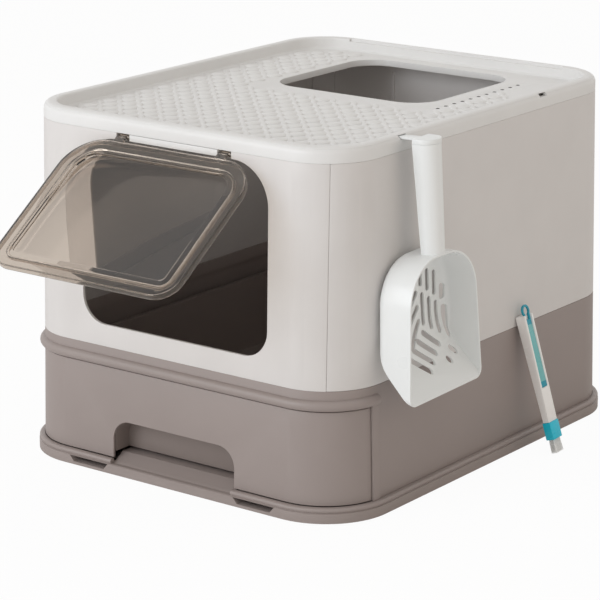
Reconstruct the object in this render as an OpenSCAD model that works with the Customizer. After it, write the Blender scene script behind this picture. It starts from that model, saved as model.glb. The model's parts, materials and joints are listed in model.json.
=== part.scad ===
// Drawer litter box: a taupe base with a pull-out litter tray, four clipped wall
// panels, a see-through two-way flap and a lift-off lid with a top entry.
// A litter scoop hangs in a slot of the lid and a small brush leans on the side.
// +Z is up, the drawer and the flap face -Y, and the origin is under the middle
// of the base, on the floor.

/* [Body] */
// Width over the walls at the seam between base and panels
box_w = 401; // [320:1:500]
// Depth over the walls at the same seam
box_d = 498; // [400:1:620]
// Overall height to the top of the lid's rim
box_h = 360; // [320:1:440]
// Radius of the four upright corners
corner_r = 62.5; // [45:0.5:80]
// Thickness of the base and panel walls
wall = 3; // [2:0.1:4]

/* [Heights] */
// Top of the base, where the panels stand
base_h = 128; // [118:1:150]
// Seam between the panels and the lid
lid_z = 345; // [300:1:420]
// Top edge of the drawer's front
drawer_top = 107.7; // [90:0.1:112]
// How far the panels lean in for each millimetre of height
panel_draft = 0.0197; // [0:0.0001:0.03]
// How far the base widens for each millimetre below its top
base_draft = 0.0226; // [0:0.0001:0.03]

/* [Foot rim] */
// How far the foot rim stands out from the wall
rim_out = 5.8; // [3:0.1:9]
// Height of the foot rim
rim_h = 15; // [13:0.5:20]
// Height of the groove that splits the foot rim
rim_groove_z = 9.8; // [8:0.1:11]

/* [Drawer] */
// Clear gap between neighbouring panels of the drawer
drawer_gap = 0.8; // [0.4:0.1:2]
// How far the drawer's front reaches back along the sides
drawer_wrap = 49.5; // [40:0.5:58]
// Height of the tray's underside above the floor
tray_z = 21; // [20:0.5:30]
// Height of the tray's top rim
tray_top = 103; // [80:1:104]
// Wall of the tray
tray_wall = 2.5; // [1.8:0.1:4]
// Gap between the tray and the side walls, room for its rim and runners
tray_side_gap = 12; // [11:0.5:18]
// Gap between the tray and the drawer's front
tray_front_gap = 11.5; // [8:0.5:16]
// Gap between the tray and the back wall, room for its rim and stops
tray_back_gap = 14; // [12:0.5:20]
// Half the width of the grip's arch
grip_half_w = 76; // [45:1:90]
// Top of the grip's arch
grip_top = 55; // [45:1:75]
// Radius of the arch's upper corners
grip_r = 20; // [8:1:30]
// Depth of the grip behind the drawer's face
grip_depth = 24; // [18:1:40]

/* [Door] */
// Half the width of the door opening
door_half_w = 114.5; // [90:0.5:130]
// Lower edge of the door opening
door_z0 = 150.4; // [140:0.1:180]
// Upper edge of the door opening
door_z1 = 338; // [280:0.1:338]
// Radius of the opening's upper corners
door_r_top = 42; // [25:1:60]
// Radius of the opening's lower corners
door_r_low = 28; // [15:1:45]

/* [Flap] */
// Gap between the flap's side and the opening
flap_side_gap = 3.5; // [2:0.1:8]
// Height of the flap's plate
flap_h = 168; // [120:1:172]
// Distance from the hinge axis down to the flap's plate
flap_drop = 10.6; // [9:0.1:16]
// How far the flap stands open, in degrees outward from hanging plumb
flap_open = 54.5; // [0:0.5:85]
// Depth of the lip round the flap
flap_lip = 6.5; // [5:0.1:9]
// Wall of the flap
flap_wall = 2; // [1.5:0.1:3]
// Width of the flat band round the pane
flap_band = 11.5; // [8:0.5:20]
// Radius of the hinge pins
pin_r = 1.5; // [1:0.1:1.8]
// Width of the two tabs that carry the flap
tab_w = 11.5; // [8:0.5:13]
// Running clearance of a pin in its bore
pin_clear = 0.05; // [0.02:0.01:0.1]
// Distance from the middle to the inner side of each hinge notch
notch_x = 54; // [40:1:70]
// Width of a hinge notch
notch_w = 16.2; // [14:0.1:24]
// Distance from the side walls in to the seams between front and side panels
seam_in = 25.5; // [20:0.5:40]

/* [Lid] */
// Width of the flat rim round the lid
lid_rim = 13.5; // [11:0.5:20]
// Radius of the lid's outer top edge
lid_edge_r = 7; // [3:0.5:8]
// Depth of the deck below the rim
deck_drop = 13; // [9:0.5:16]
// Wall of the lid
lid_wall = 2.6; // [2:0.1:3.5]
// Half the width of the top entry
entry_half_w = 98; // [70:1:110]
// Length of the top entry
entry_l = 180; // [120:1:200]
// Distance from the box's back to the back edge of the top entry
entry_back = 40; // [38:1:80]
// Corner radius of the top entry
entry_r = 34; // [15:1:45]
// Depth of the collar round the top entry
entry_collar = 6.5; // [3:0.5:10]
// Width of the ledge inside the rim at the back
rim_ledge_w = 3.5; // [2:0.5:6]
// Positions of the two hook slots along the right side
hook_slot_y = [-142.5, 103.2]; // [-150:0.1:150]
// Width of a hook slot
hook_slot_w = 13; // [10:0.5:24]
// Height of a hook slot
hook_slot_h = 3.4; // [3:0.1:4]
// Distance from the top of the rim down to the middle of a hook slot
hook_slot_drop = 2.4; // [2.4:0.1:4]

/* [Scoop] */
// Width of the scoop's bowl below its shoulders
scoop_w = 112; // [94:1:130]
// Width of the bowl at its lip
scoop_lip_w = 121; // [100:1:140]
// Length of the bowl
scoop_bowl_l = 136; // [120:1:150]
// Depth of the bowl from mouth to floor
scoop_depth = 39.3; // [30:0.1:48]
// Radius of the bowl's shoulders
scoop_shoulder_r = 46; // [30:1:54]
// Radius of the corners at the scoop's lip
scoop_lip_r = 9; // [4:0.5:16]
// Radius between the bowl's floor and its sides
scoop_fillet_r = 10; // [6:0.5:14]
// Wall of the scoop
scoop_wall = 1.8; // [1.5:0.1:3]
// Width of the slots in the bowl's floor
scoop_slot_w = 6; // [4:0.5:8]
// Length of the handle between bowl and cap
scoop_handle_l = 105; // [70:1:140]
// Width of the handle at its cap
scoop_handle_w = 27.2; // [20:0.2:32]
// Width of the handle at the bowl
scoop_neck_w = 24; // [18:0.5:28]
// How far the scoop hangs out of plumb, away from the wall, in degrees
scoop_lean = 2; // [0:0.5:4]
// How far the scoop hangs aslant along the wall, in degrees
scoop_roll = 1.2; // [0:0.1:2]

/* [Brush] */
// Width of the brush's bar
brush_w = 16; // [14:0.5:20]
// Thickness of the bar at its top
brush_t = 11.5; // [11:0.5:16]
// Thickness of the bar at its collar
brush_t_low = 7.5; // [7:0.5:11]
// Length of the bar
brush_bar_l = 112; // [90:1:150]
// Length of the coloured collar
brush_collar_l = 18; // [12:1:25]
// Length of the bristles that show
brush_bristle_l = 14.6; // [10:0.1:25]
// Width of the groove in the bar
groove_w = 10.4; // [8:0.1:11]
// Length of the groove
groove_l = 76; // [50:1:84]
// How far the brush leans towards the wall, in degrees
brush_lean = 16.5; // [10:0.5:25]
// How far the brush leans along the wall, in degrees
brush_slant = 2; // [0:0.5:6]
// Where the brush stands along the box's side
brush_y = 63; // [-60:1:140]

/* [Hidden] */
$fn = 64;

// clearance between seated pieces, between pieces that slide or snap, and a cut's overrun
seat = 0.2;
slack = 0.3;
cut = 1;
// the corner axes: every wall, rim and bead keeps one of these as its centre
corner_x = box_w/2 - corner_r;
corner_y = box_d/2 - corner_r;
// where the drawer's front ends along the sides, and where the panels' seams lie
drawer_side_y = box_d/2 - drawer_wrap;
seam_x = box_w/2 - seam_in;

// distance from the corner axis to the wall's outer face at height z
function base_r(z) = corner_r + base_draft*(base_h - z);
function panel_r(z) = corner_r - panel_draft*(z - base_h);
// points along an arc from angle a0 to a1
function arc(cx, cy, r, a0, a1, n = 6) =
    [for (k = [0:n]) let (a = a0 + (a1 - a0)*k/n) [cx + r*cos(a), cy + r*sin(a)]];

white = [0.93, 0.93, 0.92];
panel_white = [0.86, 0.85, 0.84];
taupe = [0.55, 0.51, 0.48];
taupe_dark = [0.45, 0.42, 0.40];
smoke = [0.36, 0.33, 0.29, 0.6];
teal = [0.20, 0.72, 0.78];
steel = [0.75, 0.75, 0.77];

// ---- shapes shared by the pieces ----

// sweeps a profile (x = distance from the corner axis, y = height) round the box
module around() {
    for (side = [0:3])
        rotate(90*side) {
            half_x = side % 2 == 0 ? corner_x : corner_y;
            half_y = side % 2 == 0 ? corner_y : corner_x;
            translate([half_x, half_y, 0]) {
                rotate_extrude(angle = 90) children();
                rotate([90, 0, 0]) linear_extrude(2*half_y) children();
            }
        }
}

// a flat plate out to distance r from the corner axes
module plate(r, z0, z1) {
    translate([-corner_x, -corner_y, z0]) cube([2*corner_x, 2*corner_y, z1 - z0]);
    around() translate([0, z0]) square([r, z1 - z0]);
}

// a wall strip between two heights, with the draft of the base or of the panels
module base_strip(out0, out1, z0, z1)
    polygon([[base_r(z0) + out0, z0], [base_r(z0) + out1, z0], [base_r(z1) + out1, z1],
        [base_r(z1) + out0, z1]]);
module panel_strip(out0, out1, z0, z1)
    polygon([[panel_r(z0) + out0, z0], [panel_r(z0) + out1, z0], [panel_r(z1) + out1, z1],
        [panel_r(z1) + out0, z1]]);

// a flat outline, half_w wide each way, with its own corner radii above and below
module arched_outline(half_w, y0, y1, r_low, r_top) {
    translate([-half_w, y0 + r_low]) square([2*half_w, y1 - r_top - y0 - r_low]);
    translate([-half_w + r_top, y0 + r_low]) square([2*(half_w - r_top), y1 - y0 - r_low]);
    translate([-half_w + r_low, y0]) square([2*(half_w - r_low), y1 - r_top - y0]);
    for (s = [-1, 1]) {
        translate([s*(half_w - r_top), y1 - r_top]) circle(r_top);
        translate([s*(half_w - r_low), y0 + r_low]) circle(r_low);
    }
}

// everything in front of y
module ahead_of(y) translate([-box_w, y - box_d, -cut]) cube([2*box_w, box_d, box_h + 2*cut]);

// ---- base ----

// underside of the pan's floor and its top
pan_under = 6;
pan_top = 9;
// width of the foot rim behind the wall's outer face
rim_inner = 9;
// the wall stands in the foot rim from this height
shell_foot = 12;
// face of the drawer at the grip
drawer_face_y = -(corner_y + base_r(40));
// ramp under the grip: half its width, its foot, its top, and how far back each lies
ramp_half_w = grip_half_w - 0.5;
ramp_foot = 10;
ramp_top = tray_z - 2;
ramp_run = 13;
ramp_back = grip_depth + 6;
// ribs and the centre boss under the pan
rib_t = 3;
boss_r = 18;
// slots in the skirt: distance from the middle, half their widths at foot and head, and foot height
skirt_slot_x = 104;
skirt_slot_foot = 19.5;
skirt_slot_head = 25;
skirt_slot_z = 3;
skirt_slot_depth = 20;

// section of the foot rim: skirt, groove and rounded top bead
module rim_section() {
    out = base_r(0) + rim_out;
    inner = base_r(0) - rim_inner;
    groove = 1.1;
    bead_r = (rim_h - rim_groove_z)/2;
    difference() {
        polygon(concat([[inner, 0], [out, 0], [out, rim_groove_z - 0.4], [out - groove, rim_groove_z]],
            arc(out - bead_r - 0.3, rim_groove_z + bead_r, bead_r, -60, 90),
            [[base_r(rim_h) - 0.4, rim_h], [base_r(rim_h) - 0.4, shell_foot], [inner, shell_foot]]));
        // room for the foot of the walls
        translate([base_r(shell_foot) - wall - seat, shell_foot]) square([wall + 2*seat, rim_h]);
    }
}

module base_pan() color(taupe) {
    ramp_y = drawer_face_y - 1;
    difference() {
        union() {
            plate(base_r(0) - rim_inner + 0.5, pan_under, pan_top);
            around() rim_section();
            // stiffening ribs with a boss in the middle, down to the floor
            translate([-corner_x, -rib_t/2, 0]) cube([2*corner_x, rib_t, pan_top]);
            translate([-rib_t/2, -corner_y, 0]) cube([rib_t, 2*corner_y, pan_top]);
            cylinder(h = pan_top, r = boss_r);
            // ramp below the grip, so that fingers reach under the drawer
            rotate([90, 0, 90]) translate([0, 0, -ramp_half_w]) linear_extrude(2*ramp_half_w)
                polygon([[ramp_y, pan_under], [ramp_y, ramp_foot], [drawer_face_y + ramp_run, ramp_top],
                    [drawer_face_y + ramp_back, ramp_top], [drawer_face_y + ramp_back, pan_under]]);
        }
        // the rim is cut lower in front of the grip
        rotate([90, 0, 90]) translate([0, 0, -ramp_half_w]) linear_extrude(2*ramp_half_w)
            polygon([[-box_d, ramp_foot], [ramp_y, ramp_foot], [drawer_face_y + ramp_run, ramp_top + 0.01],
                [drawer_face_y + ramp_run, box_h], [-box_d, box_h]]);
        // two slots in the front skirt, below its groove
        for (s = [-1, 1])
            translate([s*skirt_slot_x, -corner_y - base_r(0) - rim_out + skirt_slot_depth, 0])
                rotate([90, 0, 0]) linear_extrude(skirt_slot_depth + cut)
                    polygon([[-skirt_slot_foot, skirt_slot_z], [skirt_slot_foot, skirt_slot_z],
                        [skirt_slot_head, rim_groove_z - 0.6], [-skirt_slot_head, rim_groove_z - 0.6]]);
    }
}

// bead round the front, on the bar above the drawer
bead_z = 114;
bead_r = 5.5;
// shelf that closes the bar from below
bar_z0 = drawer_top + drawer_gap;
shelf_w = 12;
shelf_t = 2.5;
// raised strips at the walls' front ends
strip_w = 8.7;
strip_out = 1.6;
// tongue inside the base's top edge
tongue_t = 2.4;
tongue_z0 = base_h - 8;
tongue_z1 = base_h + 6;

module base_shell() color(taupe) {
    end_y = -(drawer_side_y - drawer_gap);
    // side and back walls, and the bar over the drawer
    difference() {
        around() base_strip(-wall, 0, shell_foot + seat, base_h);
        intersection() {
            ahead_of(end_y);
            translate([-box_w, -box_d, -cut]) cube([2*box_w, 2*box_d, bar_z0 + cut]);
        }
    }
    // raised strips along the walls' front ends
    intersection() {
        around() base_strip(-wall/2, strip_out, rim_h + seat, bar_z0 + shelf_t + 1.5);
        translate([-box_w, end_y, -cut]) cube([2*box_w, strip_w, box_h]);
    }
    // bead on the bar, and the shelf that closes it from below
    intersection() {
        around() {
            translate([base_r(bead_z) - 0.5, bead_z]) intersection() {
                circle(bead_r);
                translate([0, -bead_r]) square(2*bead_r);
            }
            base_strip(-shelf_w, -wall/2, bar_z0, bar_z0 + shelf_t);
        }
        ahead_of(end_y + strip_w);
    }
    // upright tongue that the panels slip over
    around()
        polygon([[base_r(tongue_z0) - wall - tongue_t, tongue_z0],
            [base_r(tongue_z0) - wall + 0.5, tongue_z0],
            [corner_r - wall + 0.5, base_h - seat], [corner_r - wall - seat, base_h - seat],
            [panel_r(tongue_z1) - wall - seat, tongue_z1],
            [panel_r(tongue_z1) - wall - tongue_t, tongue_z1],
            [corner_r - wall - tongue_t, base_h]]);
}

// rubber feet: a foot with a wider sole
foot_r = 12;
sole_r = 14;
sole_t = 1.5;

module base_feet() color("dimgray")
    for (x = [-1, 1], y = [-1, 1])
        translate([x*corner_x, y*corner_y, 0]) {
            cylinder(h = pan_under, r = foot_r);
            cylinder(h = sole_t, r = sole_r);
        }

// ---- drawer ----

// the tray's sides, each set in from the wall's inner face at the drawer's top
tray_bay = base_r(drawer_top) - wall;
tray_half_w = corner_x + tray_bay - tray_side_gap;
tray_y0 = -(corner_y + tray_bay - tray_front_gap);
tray_y1 = corner_y + tray_bay - tray_back_gap;
tray_corner = tray_bay - max(tray_side_gap, tray_back_gap);
tray_rim_out = 5;
tray_rim_t = 2;
// runners: width of the bearer, thickness and height of the lip beside the tray
bearer_w = 14;
runner_lip = 3;
runner_lip_h = 17;
runner_gap = 1;
// stops behind the tray
stop_x = 100;
stop_w = 20;
stop_t = 7;
stop_h = 36;
// clips between the drawer's front and its tray
clip_x = 112;
clip_w = 16;
clip_h = 10;
clip_z = [38, 82];

// guide rail: a bearer under the tray with an upright lip beside it
module runner(side) {
    inner = tray_half_w - bearer_w;
    lip = tray_half_w + runner_gap;
    rotate([90, 0, 0]) translate([0, 0, -corner_y - 20]) linear_extrude(2*corner_y + 5)
        polygon([for (p = [[inner, pan_top], [lip + runner_lip, pan_top],
                [lip + runner_lip, tray_z + runner_lip_h], [lip, tray_z + runner_lip_h],
                [lip, tray_z - slack], [inner, tray_z - slack]]) [side*p[0], p[1]]]);
}
module drawer_runner_left() color(taupe_dark) runner(-1);
module drawer_runner_right() color(taupe_dark) runner(1);

module drawer_stops() color(taupe_dark)
    for (s = [-1, 1])
        translate([s*stop_x - stop_w/2, tray_y1 + slack, pan_top]) {
            cube([stop_w, stop_t, stop_h]);
            cube([stop_w, stop_t + 2, 4]);
        }

// plan of the tray, inset by d
module tray_plan(d, r)
    translate([0, (tray_y0 + tray_y1)/2])
        arched_outline(tray_half_w - d, -(tray_y1 - tray_y0)/2 + d, (tray_y1 - tray_y0)/2 - d, r, r);

// the grip's pocket; d grows it by a wall
module grip_block(d, back)
    translate([0, back, 0]) rotate([90, 0, 0]) linear_extrude(back - drawer_face_y + 4)
        arched_outline(grip_half_w + d, -grip_r, grip_top + d, grip_r, grip_r + d);

module drawer_tray() color(taupe_dark) {
    pocket_y = drawer_face_y + grip_depth;
    skin_y = -(corner_y + base_r(grip_top + 2*tray_wall)) + wall + seat;
    difference() {
        union() {
            translate([0, 0, tray_z]) linear_extrude(tray_top - tray_z) tray_plan(0, tray_corner);
            translate([0, 0, tray_top - tray_rim_t]) linear_extrude(tray_rim_t)
                tray_plan(-tray_rim_out, tray_corner + tray_rim_out);
            // mouth of the pocket, forward to the drawer's front
            intersection() {
                grip_block(tray_wall, pocket_y);
                translate([-box_w, skin_y, tray_z]) cube([2*box_w, box_d, box_h]);
            }
        }
        difference() {
            translate([0, 0, tray_z + tray_wall]) linear_extrude(box_h)
                tray_plan(tray_wall, tray_corner - tray_wall);
            grip_block(tray_wall, pocket_y + tray_wall);
        }
        grip_block(0, pocket_y);
    }
}

module drawer_front() color(taupe) {
    difference() {
        intersection() {
            around() base_strip(-wall, 0, rim_h + 0.6, drawer_top);
            ahead_of(-drawer_side_y);
        }
        grip_block(0, drawer_face_y + grip_depth);
    }
}

// snap blocks that hold the front on the tray
module drawer_front_clips() color(taupe_dark)
    for (s = [-1, 1], z = clip_z) {
        face = corner_y + base_r(z + clip_h) - wall - 0.1;
        translate([s*clip_x - clip_w/2, -face, z]) cube([clip_w, tray_y0 + face, clip_h]);
    }

// ---- wall panels ----

// section of a panel's wall
panel_z0 = base_h + seat;
panel_z1 = lid_z - seat;
seam_half = 0.15;

// part of the plan that belongs to one panel: the front and back panels reach round
// the corners to the seams at seam_x, and the side panels take the rest
module panel_region(side) {
    if (side % 2 == 1)
        translate([-seam_x + seam_half, side == 1 ? 0 : -box_d, -cut])
            cube([2*(seam_x - seam_half), box_d, box_h + 2*cut]);
    else
        translate([side == 0 ? seam_x + seam_half : -box_w - seam_x - seam_half, -box_d, -cut])
            cube([box_w, 2*box_d, box_h + 2*cut]);
}

module panel_wall(side)
    intersection() {
        around() panel_strip(-wall, 0, panel_z0, panel_z1);
        panel_region(side);
    }

// hinge axis of the flap, just behind the wall above the door
hinge_z = door_z1 + 3;
hinge_y = -(corner_y + panel_r(hinge_z) - wall - 1.3);
pin_boss_r = 3.2;
pin_seat = 0.01;
pin_boss_w = 6;
notch_mid = notch_x + notch_w/2;
// bar behind the hinge, clear of the tabs' eyes
eye_r = pin_r + 1.3;
rail_gap = 0.5;
rail_t = 3.2;
rail_z0 = hinge_z - 1;
rail_z1 = panel_z1 - 0.5;
rail_half_w = notch_x + notch_w + seat + pin_boss_w;

module front_panel() color(panel_white)
    difference() {
        union() {
            difference() {
                panel_wall(3);
                translate([0, -corner_y, 0]) rotate([90, 0, 0]) linear_extrude(corner_r + cut)
                    arched_outline(door_half_w, door_z0, door_z1, door_r_low, door_r_top);
                // notches for the tabs, and the seat of the hinge cover between them
                translate([-notch_x - notch_w, -box_d, door_z1 - cut])
                    cube([2*(notch_x + notch_w), box_d, box_h]);
            }
            // bosses that hold the outer ends of the hinge pins, on a bar behind the hinge
            for (s = [-1, 1])
                translate([s*(notch_x + notch_w + seat + pin_boss_w/2), hinge_y, hinge_z]) {
                    rotate([0, 90, 0]) cylinder(h = pin_boss_w, r = pin_boss_r, center = true);
                    translate([-pin_boss_w/2, 0, rail_z0 - hinge_z])
                        cube([pin_boss_w, eye_r + rail_gap + cut, rail_z1 - rail_z0]);
                }
            translate([-rail_half_w, hinge_y + eye_r + rail_gap, rail_z0])
                cube([2*rail_half_w, rail_t, rail_z1 - rail_z0]);
        }
        translate([0, hinge_y, hinge_z]) rotate([0, 90, 0])
            cylinder(h = 2*(rail_half_w + cut), r = pin_r + pin_seat, center = true);
    }

// upright stiffening ribs inside the back panel
back_rib_x = 85;
back_rib_w = 4;
back_rib_out = 2.5;

module back_panel() color(panel_white) {
    panel_wall(1);
    for (s = [-1, 1])
        intersection() {
            translate([s*back_rib_x - back_rib_w/2, 0, panel_z0 + 12])
                cube([back_rib_w, box_d, panel_z1 - panel_z0 - 30]);
            around() panel_strip(-wall - back_rib_out, -wall + 0.5, panel_z0, panel_z1);
        }
}
module left_panel() color(panel_white) panel_wall(2);
module right_panel() color(panel_white) panel_wall(0);

// angle at which a seam crosses its corner
seam_angle = acos((seam_x - corner_x)/(corner_r - wall));
// snap strip behind the seam of one corner: the angle it spans and its thickness
brace_span = 26;
brace_t = 2.3;

module brace(quarter) {
    half_x = quarter % 2 == 0 ? corner_x : corner_y;
    half_y = quarter % 2 == 0 ? corner_y : corner_x;
    middle = quarter % 2 == 0 ? seam_angle : 90 - seam_angle;
    rotate(90*quarter) translate([half_x, half_y, 0])
        rotate(middle - brace_span/2) rotate_extrude(angle = brace_span)
            panel_strip(-wall - slack - brace_t, -wall - slack, tongue_z1 + 1, lid_z - 12);
}
module brace_back_right() color(panel_white) brace(0);
module brace_back_left() color(panel_white) brace(1);
module brace_front_left() color(panel_white) brace(2);
module brace_front_right() color(panel_white) brace(3);

// strip between the notches, seated on the bar, which holds the inner ends of the hinge pins
module hinge_cover() color(white)
    difference() {
        half = notch_x - seat;
        z0 = door_z1 + slack;
        union() {
            intersection() {
                around() panel_strip(-wall, 0, z0, panel_z1 - slack);
                translate([-half, -box_d, 0]) cube([2*half, box_d, box_h]);
            }
            translate([-half, hinge_y - pin_boss_r, z0])
                cube([2*half, pin_boss_r + eye_r + rail_gap, rail_z1 - z0]);
        }
        for (s = [-1, 1])
            translate([s*half, hinge_y, hinge_z]) rotate([0, 90, 0])
                cylinder(h = 2*pin_boss_w, r = pin_r + pin_seat, center = true);
    }

module flap_hinge_pins() color(steel)
    for (s = [-1, 1])
        translate([s*notch_mid, hinge_y, hinge_z]) rotate([0, 90, 0])
            cylinder(h = notch_w + 2*pin_boss_w - 1, r = pin_r, center = true);

// ---- flap ----

flap_half_w = door_half_w - flap_side_gap;
flap_r_top = door_r_top - 2;
flap_r_low = door_r_low - flap_side_gap;
// face, back and pane of the flap, measured out from the hinge axis
flap_face = 5;
flap_back = flap_face - flap_lip;
flap_pane = flap_face - 2.4;
flap_step = 6.8;
tab_t = 2.4;

// outline of the flap inset by d, hanging below the hinge axis
module flap_outline(d)
    arched_outline(flap_half_w - d, -flap_drop - flap_h + d, -flap_drop - d, flap_r_low - d, flap_r_top - d);

// a slab of that outline between two distances in front of the hinge axis
module flap_slab(d, w0, w1)
    translate([0, -w0, 0]) rotate([90, 0, 0]) linear_extrude(w1 - w0) flap_outline(d);

module flap() color(smoke)
    translate([0, hinge_y, hinge_z]) rotate([-flap_open, 0, 0]) {
        difference() {
            flap_slab(0, flap_back, flap_face);
            // hollow behind the band, inside the lip
            difference() {
                flap_slab(flap_wall, flap_back - cut, flap_face - flap_wall);
                flap_slab(flap_band, flap_back - 2*cut, flap_face);
            }
            // hollow behind the pane
            flap_slab(flap_band + flap_wall, flap_back - cut, flap_pane - flap_wall);
            // sunk pane
            flap_slab(flap_band + flap_step, flap_pane, flap_face + cut);
        }
        // tabs with eyes on the hinge pins
        for (s = [-1, 1])
            translate([s*notch_mid, 0, 0]) difference() {
                rotate([90, 0, 90]) translate([0, 0, -tab_w/2]) linear_extrude(tab_w) {
                    circle(eye_r);
                    polygon([[-eye_r + 0.3, 0.9], [-flap_face, -4], [-flap_face, -flap_drop - flap_wall],
                        [tab_t - flap_face, -flap_drop - flap_wall], [tab_t - flap_face, -5.4],
                        [0, -eye_r + 0.2]]);
                }
                rotate([0, 90, 0]) cylinder(h = 2*tab_w, r = pin_r + pin_clear, center = true);
            }
    }

// ---- lid ----

deck_z = box_h - deck_drop;
slot_z = box_h - hook_slot_drop;
rim_ledge_drop = 3;
// edges of the top entry
entry_y1 = box_d/2 - entry_back;
entry_y0 = entry_y1 - entry_l;
// tongue of the lid inside the panels, along the sides and the back
lid_tongue_t = 2.2;
lid_tongue_h = 8;

// section of the hollow rim: skirt, rounded edge with a fine groove, flat top and inner wall
module lid_section() {
    out = panel_r(lid_z);
    edge = lid_edge_r;
    // inside of the rim, and the deck's edge
    inner = out - lid_rim;
    difference() {
        polygon(concat([[inner - 2, deck_z - lid_wall], [inner + lid_wall, deck_z - lid_wall], [out, lid_z]],
            arc(out - edge, box_h - edge, edge, 0, 90, 8), [[inner + 2, box_h]],
            arc(inner + 2, box_h - 2, 2, 90, 180, 4), [[inner, deck_z + 2], [inner - 2, deck_z]]));
        // hollow below the rim
        polygon(concat([[inner + lid_wall, lid_z - cut - lid_wall],
                [out - lid_wall, lid_z - cut - lid_wall]],
            arc(out - edge, box_h - edge, edge - lid_wall, 0, 90, 6),
            [[inner + lid_wall, box_h - lid_wall]]));
        // fine groove halfway round the edge
        translate([out - edge*(1 - sin(45)), box_h - edge*(1 - sin(45))]) circle(0.35);
    }
}

module lid() color(white)
    difference() {
        union() {
            plate(panel_r(lid_z) - lid_rim - 1, deck_z - lid_wall, deck_z);
            around() lid_section();
            intersection() {
                around() {
                    inside = panel_r(lid_z) - wall - slack;
                    panel_strip(-wall - slack - lid_tongue_t, -wall - slack, lid_z - lid_tongue_h,
                        lid_z + 0.5);
                    translate([inside - lid_tongue_t, lid_z - 0.6])
                        square([lid_tongue_t, box_h - lid_wall - lid_z + 0.6]);
                }
                translate([-box_w, -corner_y, 0]) cube([2*box_w, 2*box_d, box_h]);
            }
            // wall below the ledge at the back
            translate([-corner_x, corner_y + panel_r(lid_z) - lid_rim, box_h - rim_ledge_drop - lid_wall])
                cube([2*corner_x, rim_ledge_w + lid_wall, rim_ledge_drop + lid_wall - 0.5]);
            // collar of the top entry
            translate([0, 0, deck_z - entry_collar]) linear_extrude(entry_collar) entry_outline(-lid_wall);
        }
        translate([0, 0, deck_z - entry_collar - cut]) linear_extrude(box_h) entry_outline(0);
        // ledge inside the rim at the back
        translate([-corner_x, corner_y + panel_r(lid_z) - lid_rim - 1, box_h - rim_ledge_drop])
            cube([2*corner_x, rim_ledge_w + 1, box_h]);
        for (y = hook_slot_y)
            translate([corner_x + panel_r(lid_z) - 10, y - hook_slot_w/2, slot_z - hook_slot_h/2])
                cube([20, hook_slot_w, hook_slot_h]);
        // drain holes, in staggered columns and in a row on the right of the entry
        for (k = [0:len(drain_x) - 1]) {
            first = drain_y + (k % 2)*drain_pitch_y/2;
            for (y = [first : drain_pitch_y : entry_y0 - drain_end]) drain(drain_x[k], y);
        }
        for (y = [entry_y0 - 2.5 : entry_drain_pitch : entry_y1 - entry_r + entry_drain_pitch/2])
            drain(entry_drain_x, y);
    }

// columns of drain holes, the first hole's place, and the pitch along a column
drain_x = [-82, 10, 102];
drain_y = -box_d/2 + 70.8;
drain_pitch_y = 29.2;
drain_end = 28;
drain_r = 2.1;
// row of drain holes beside the entry
entry_drain_x = entry_half_w + 21;
entry_drain_pitch = 14.9;
module drain(x, y)
    translate([x, y, deck_z - lid_wall - cut]) cylinder(h = lid_wall + 2*cut, r = drain_r);

// plan of the top entry, inset by d
module entry_outline(d)
    translate([0, (entry_y0 + entry_y1)/2])
        arched_outline(entry_half_w - d, -(entry_y1 - entry_y0)/2 + d, (entry_y1 - entry_y0)/2 - d,
            entry_r - d, entry_r - d);

// ---- scoop ----

scoop_y = hook_slot_y[0];
// the scoop is drawn plumb against the plane of the lid's side, then leans out about its hook
scoop_back = corner_x + panel_r(lid_z);
scoop_mouth = scoop_back + scoop_depth;
// cap, top of the handle, and top and tip of the bowl
cap_h = 4.7;
cap_lip = 0.3;
plug_h = 5;
handle_top = slot_z + 2 - cap_h;
bowl_top = handle_top - scoop_handle_l;
bowl_tip = bowl_top - scoop_bowl_l;
// the floor rises from the lip at this angle, then bends up to the back
ramp_angle = 47;
floor_bend_r = 60;
// depth of the handle at its cap, and how far its back stands out from the bowl's back there
handle_d = 21.2;
handle_out = 17;
neck_d = 16;
// thickness of the slices that a hull joins
slice = 0.2;

// turns what is drawn plumb to the way it hangs, about the hook
module hung()
    translate([scoop_back, scoop_y, slot_z]) rotate([scoop_roll, -scoop_lean, 0])
        translate([-scoop_back, -scoop_y, -slot_z]) children();

// side view of the bowl, inset by d: the floor rises from the lip, bends up and runs to the roof
module bowl_side(d) {
    mouth = scoop_mouth + (d > 0 ? cut : 0);
    turn = 90 - ramp_angle;
    bend_z = bowl_tip + floor_bend_r*sin(turn)
        + (scoop_depth - floor_bend_r*(1 - cos(turn)))*tan(ramp_angle);
    polygon(concat([[mouth, bowl_tip + (d - (mouth - scoop_mouth)*sin(ramp_angle))/cos(ramp_angle)]],
        arc(scoop_back + floor_bend_r, bend_z, floor_bend_r - d, 180 + turn, 180, 10),
        [[scoop_back + d, bowl_top - d], [mouth, bowl_top - d]]));
}

// corners of the bowl's front view, inset by d: the two of the lip and the two round shoulders
module bowl_front(d)
    for (s = [-1, 1]) {
        lip = max(scoop_lip_r, d + 3);
        translate([scoop_y + s*(scoop_lip_w/2 - lip), bowl_tip + lip]) circle(lip - d, $fn = 28);
        translate([scoop_y + s*(scoop_w/2 - scoop_shoulder_r), bowl_top - scoop_shoulder_r])
            circle(scoop_shoulder_r - d, $fn = 40);
    }

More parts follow.
